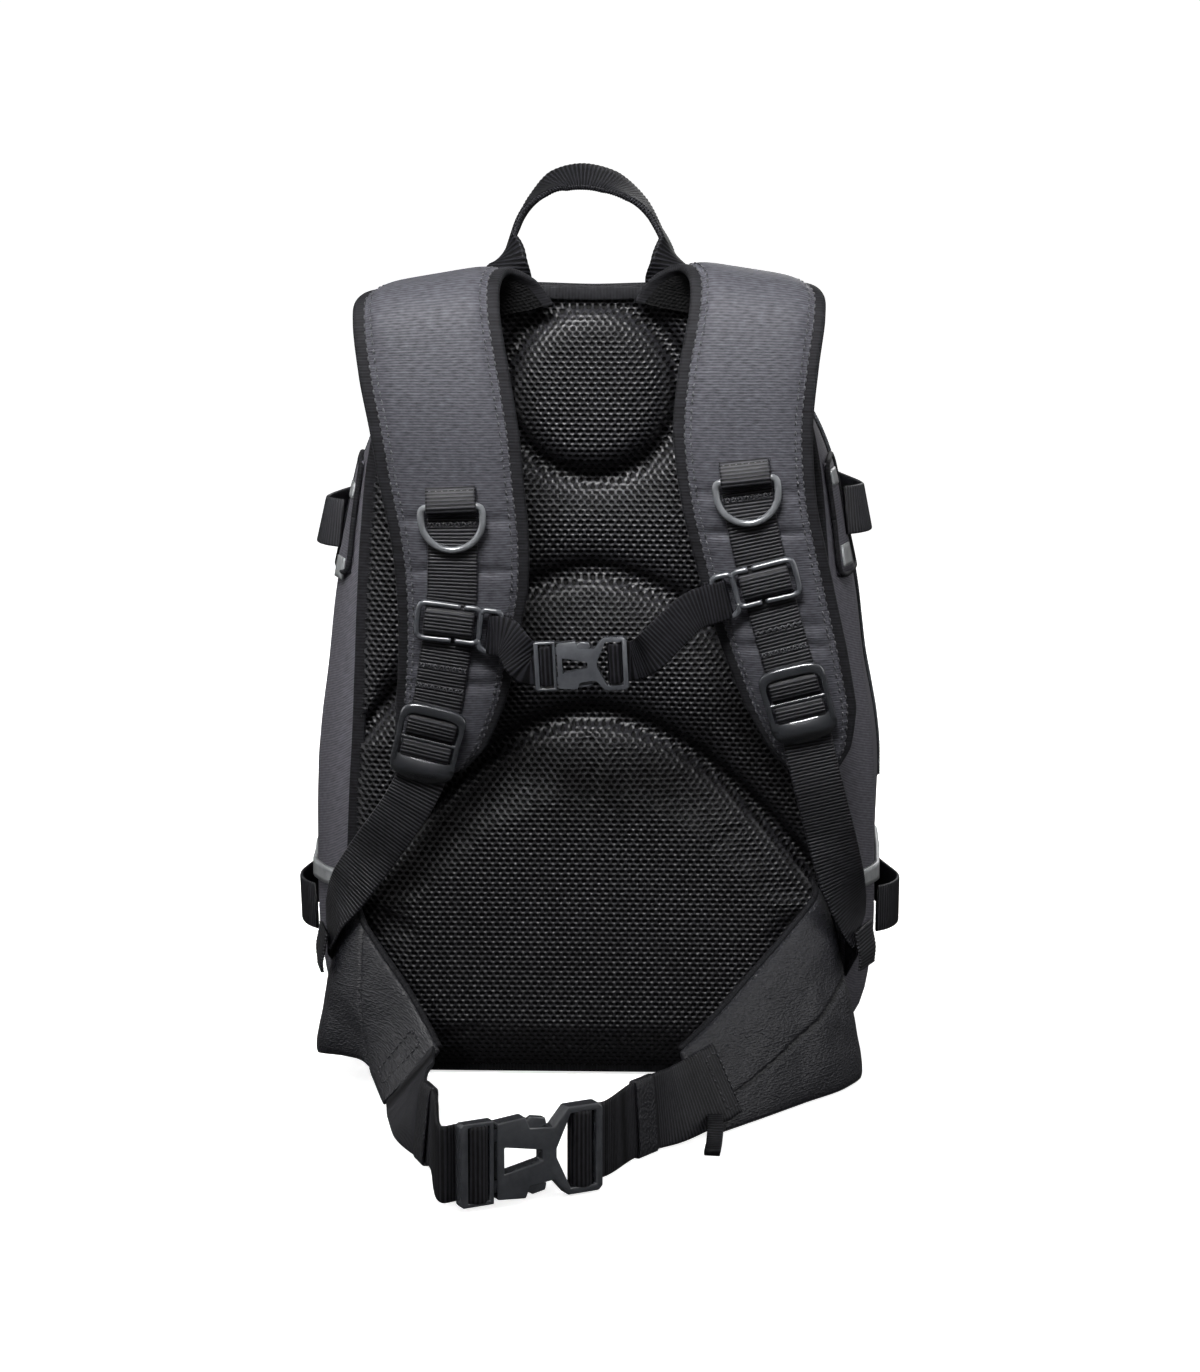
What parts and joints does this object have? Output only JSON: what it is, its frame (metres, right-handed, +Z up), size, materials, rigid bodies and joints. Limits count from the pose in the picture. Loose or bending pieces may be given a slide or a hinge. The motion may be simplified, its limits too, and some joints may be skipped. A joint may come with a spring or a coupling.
{
  "type": "ski mountaineering backpack",
  "caption": "Upright touring daypack with a padded mesh back, padded shoulder straps, chest strap, carry handle, side straps and a fastened hip belt.",
  "frame": {"origin": "middle of the sole, on the floor the pack stands on", "axes": "+Z up, -Y out of the harness side, +X to the right when looking at the harness side"},
  "size_m": [0.3216, 0.4108, 0.4703],
  "materials": {
    "shell_nylon": "charcoal nylon pack cloth, plain weave",
    "back_mesh": "thick air mesh over foam, near black",
    "strap_twill": "charcoal twill over foam with bound edges",
    "wing_nylon": "dark smooth nylon",
    "webbing": "near black ribbed polyester webbing",
    "buckle_plastic": "satin dark grey acetal",
    "ring_plastic": "satin mid grey acetal",
    "lock_plastic": "glossy gunmetal acetal",
    "trim_tape": "light grey reflective tape"
  },
  "bodies": {
    "pack": {"bag_shell": "shell_nylon", "back_panel": "back_mesh", "shoulder_strap_left": "strap_twill", "shoulder_strap_right": "strap_twill", "hip_wing_left": "wing_nylon", "hip_wing_right": "wing_nylon", "anchor_tab_left": "wing_nylon", "anchor_tab_right": "wing_nylon", "hip_keeper_left": "wing_nylon", "hip_keeper_right": "wing_nylon", "d_ring_loop_left": "webbing", "d_ring_loop_right": "webbing", "strap_webbing_left": "webbing", "strap_webbing_right": "webbing", "adjuster_webbing_left": "webbing", "adjuster_webbing_right": "webbing", "sternum_webbing_left": "webbing", "sternum_webbing_right": "webbing", "hip_webbing_left": "webbing", "hip_webbing_right": "webbing", "compression_upper_left": "webbing", "compression_upper_right": "webbing", "compression_lower_left": "webbing", "compression_lower_right": "webbing", "carry_handle": "webbing", "hip_tail_right": "webbing", "sternum_slider_left": "buckle_plastic", "sternum_slider_right": "buckle_plastic", "sternum_buckle_socket": "buckle_plastic", "sternum_buckle_plug": "buckle_plastic", "hip_buckle_socket": "buckle_plastic", "hip_buckle_plug": "buckle_plastic", "ladder_lock_left": "lock_plastic", "ladder_lock_right": "lock_plastic", "side_patch_left": "trim_tape", "side_patch_right": "trim_tape", "pocket_trim_left": "trim_tape", "pocket_trim_right": "trim_tape"},
    "d_ring_left": {"d_ring_left": "ring_plastic"},
    "d_ring_right": {"d_ring_right": "ring_plastic"}
  },
  "joints": [
    {"name": "d_ring_left_swing", "type": "hinge", "parent": "pack", "child": "d_ring_left", "pos_m": [-0.06742, -0.15615, 0.30736], "axis": [-0.9991, 0.0028, -0.0428], "range_deg": [0, 150]},
    {"name": "d_ring_right_swing", "type": "hinge", "parent": "pack", "child": "d_ring_right", "pos_m": [0.07739, -0.15744, 0.32161], "axis": [-0.9939, 0.0044, -0.1098], "range_deg": [0, 150]}
  ]
}
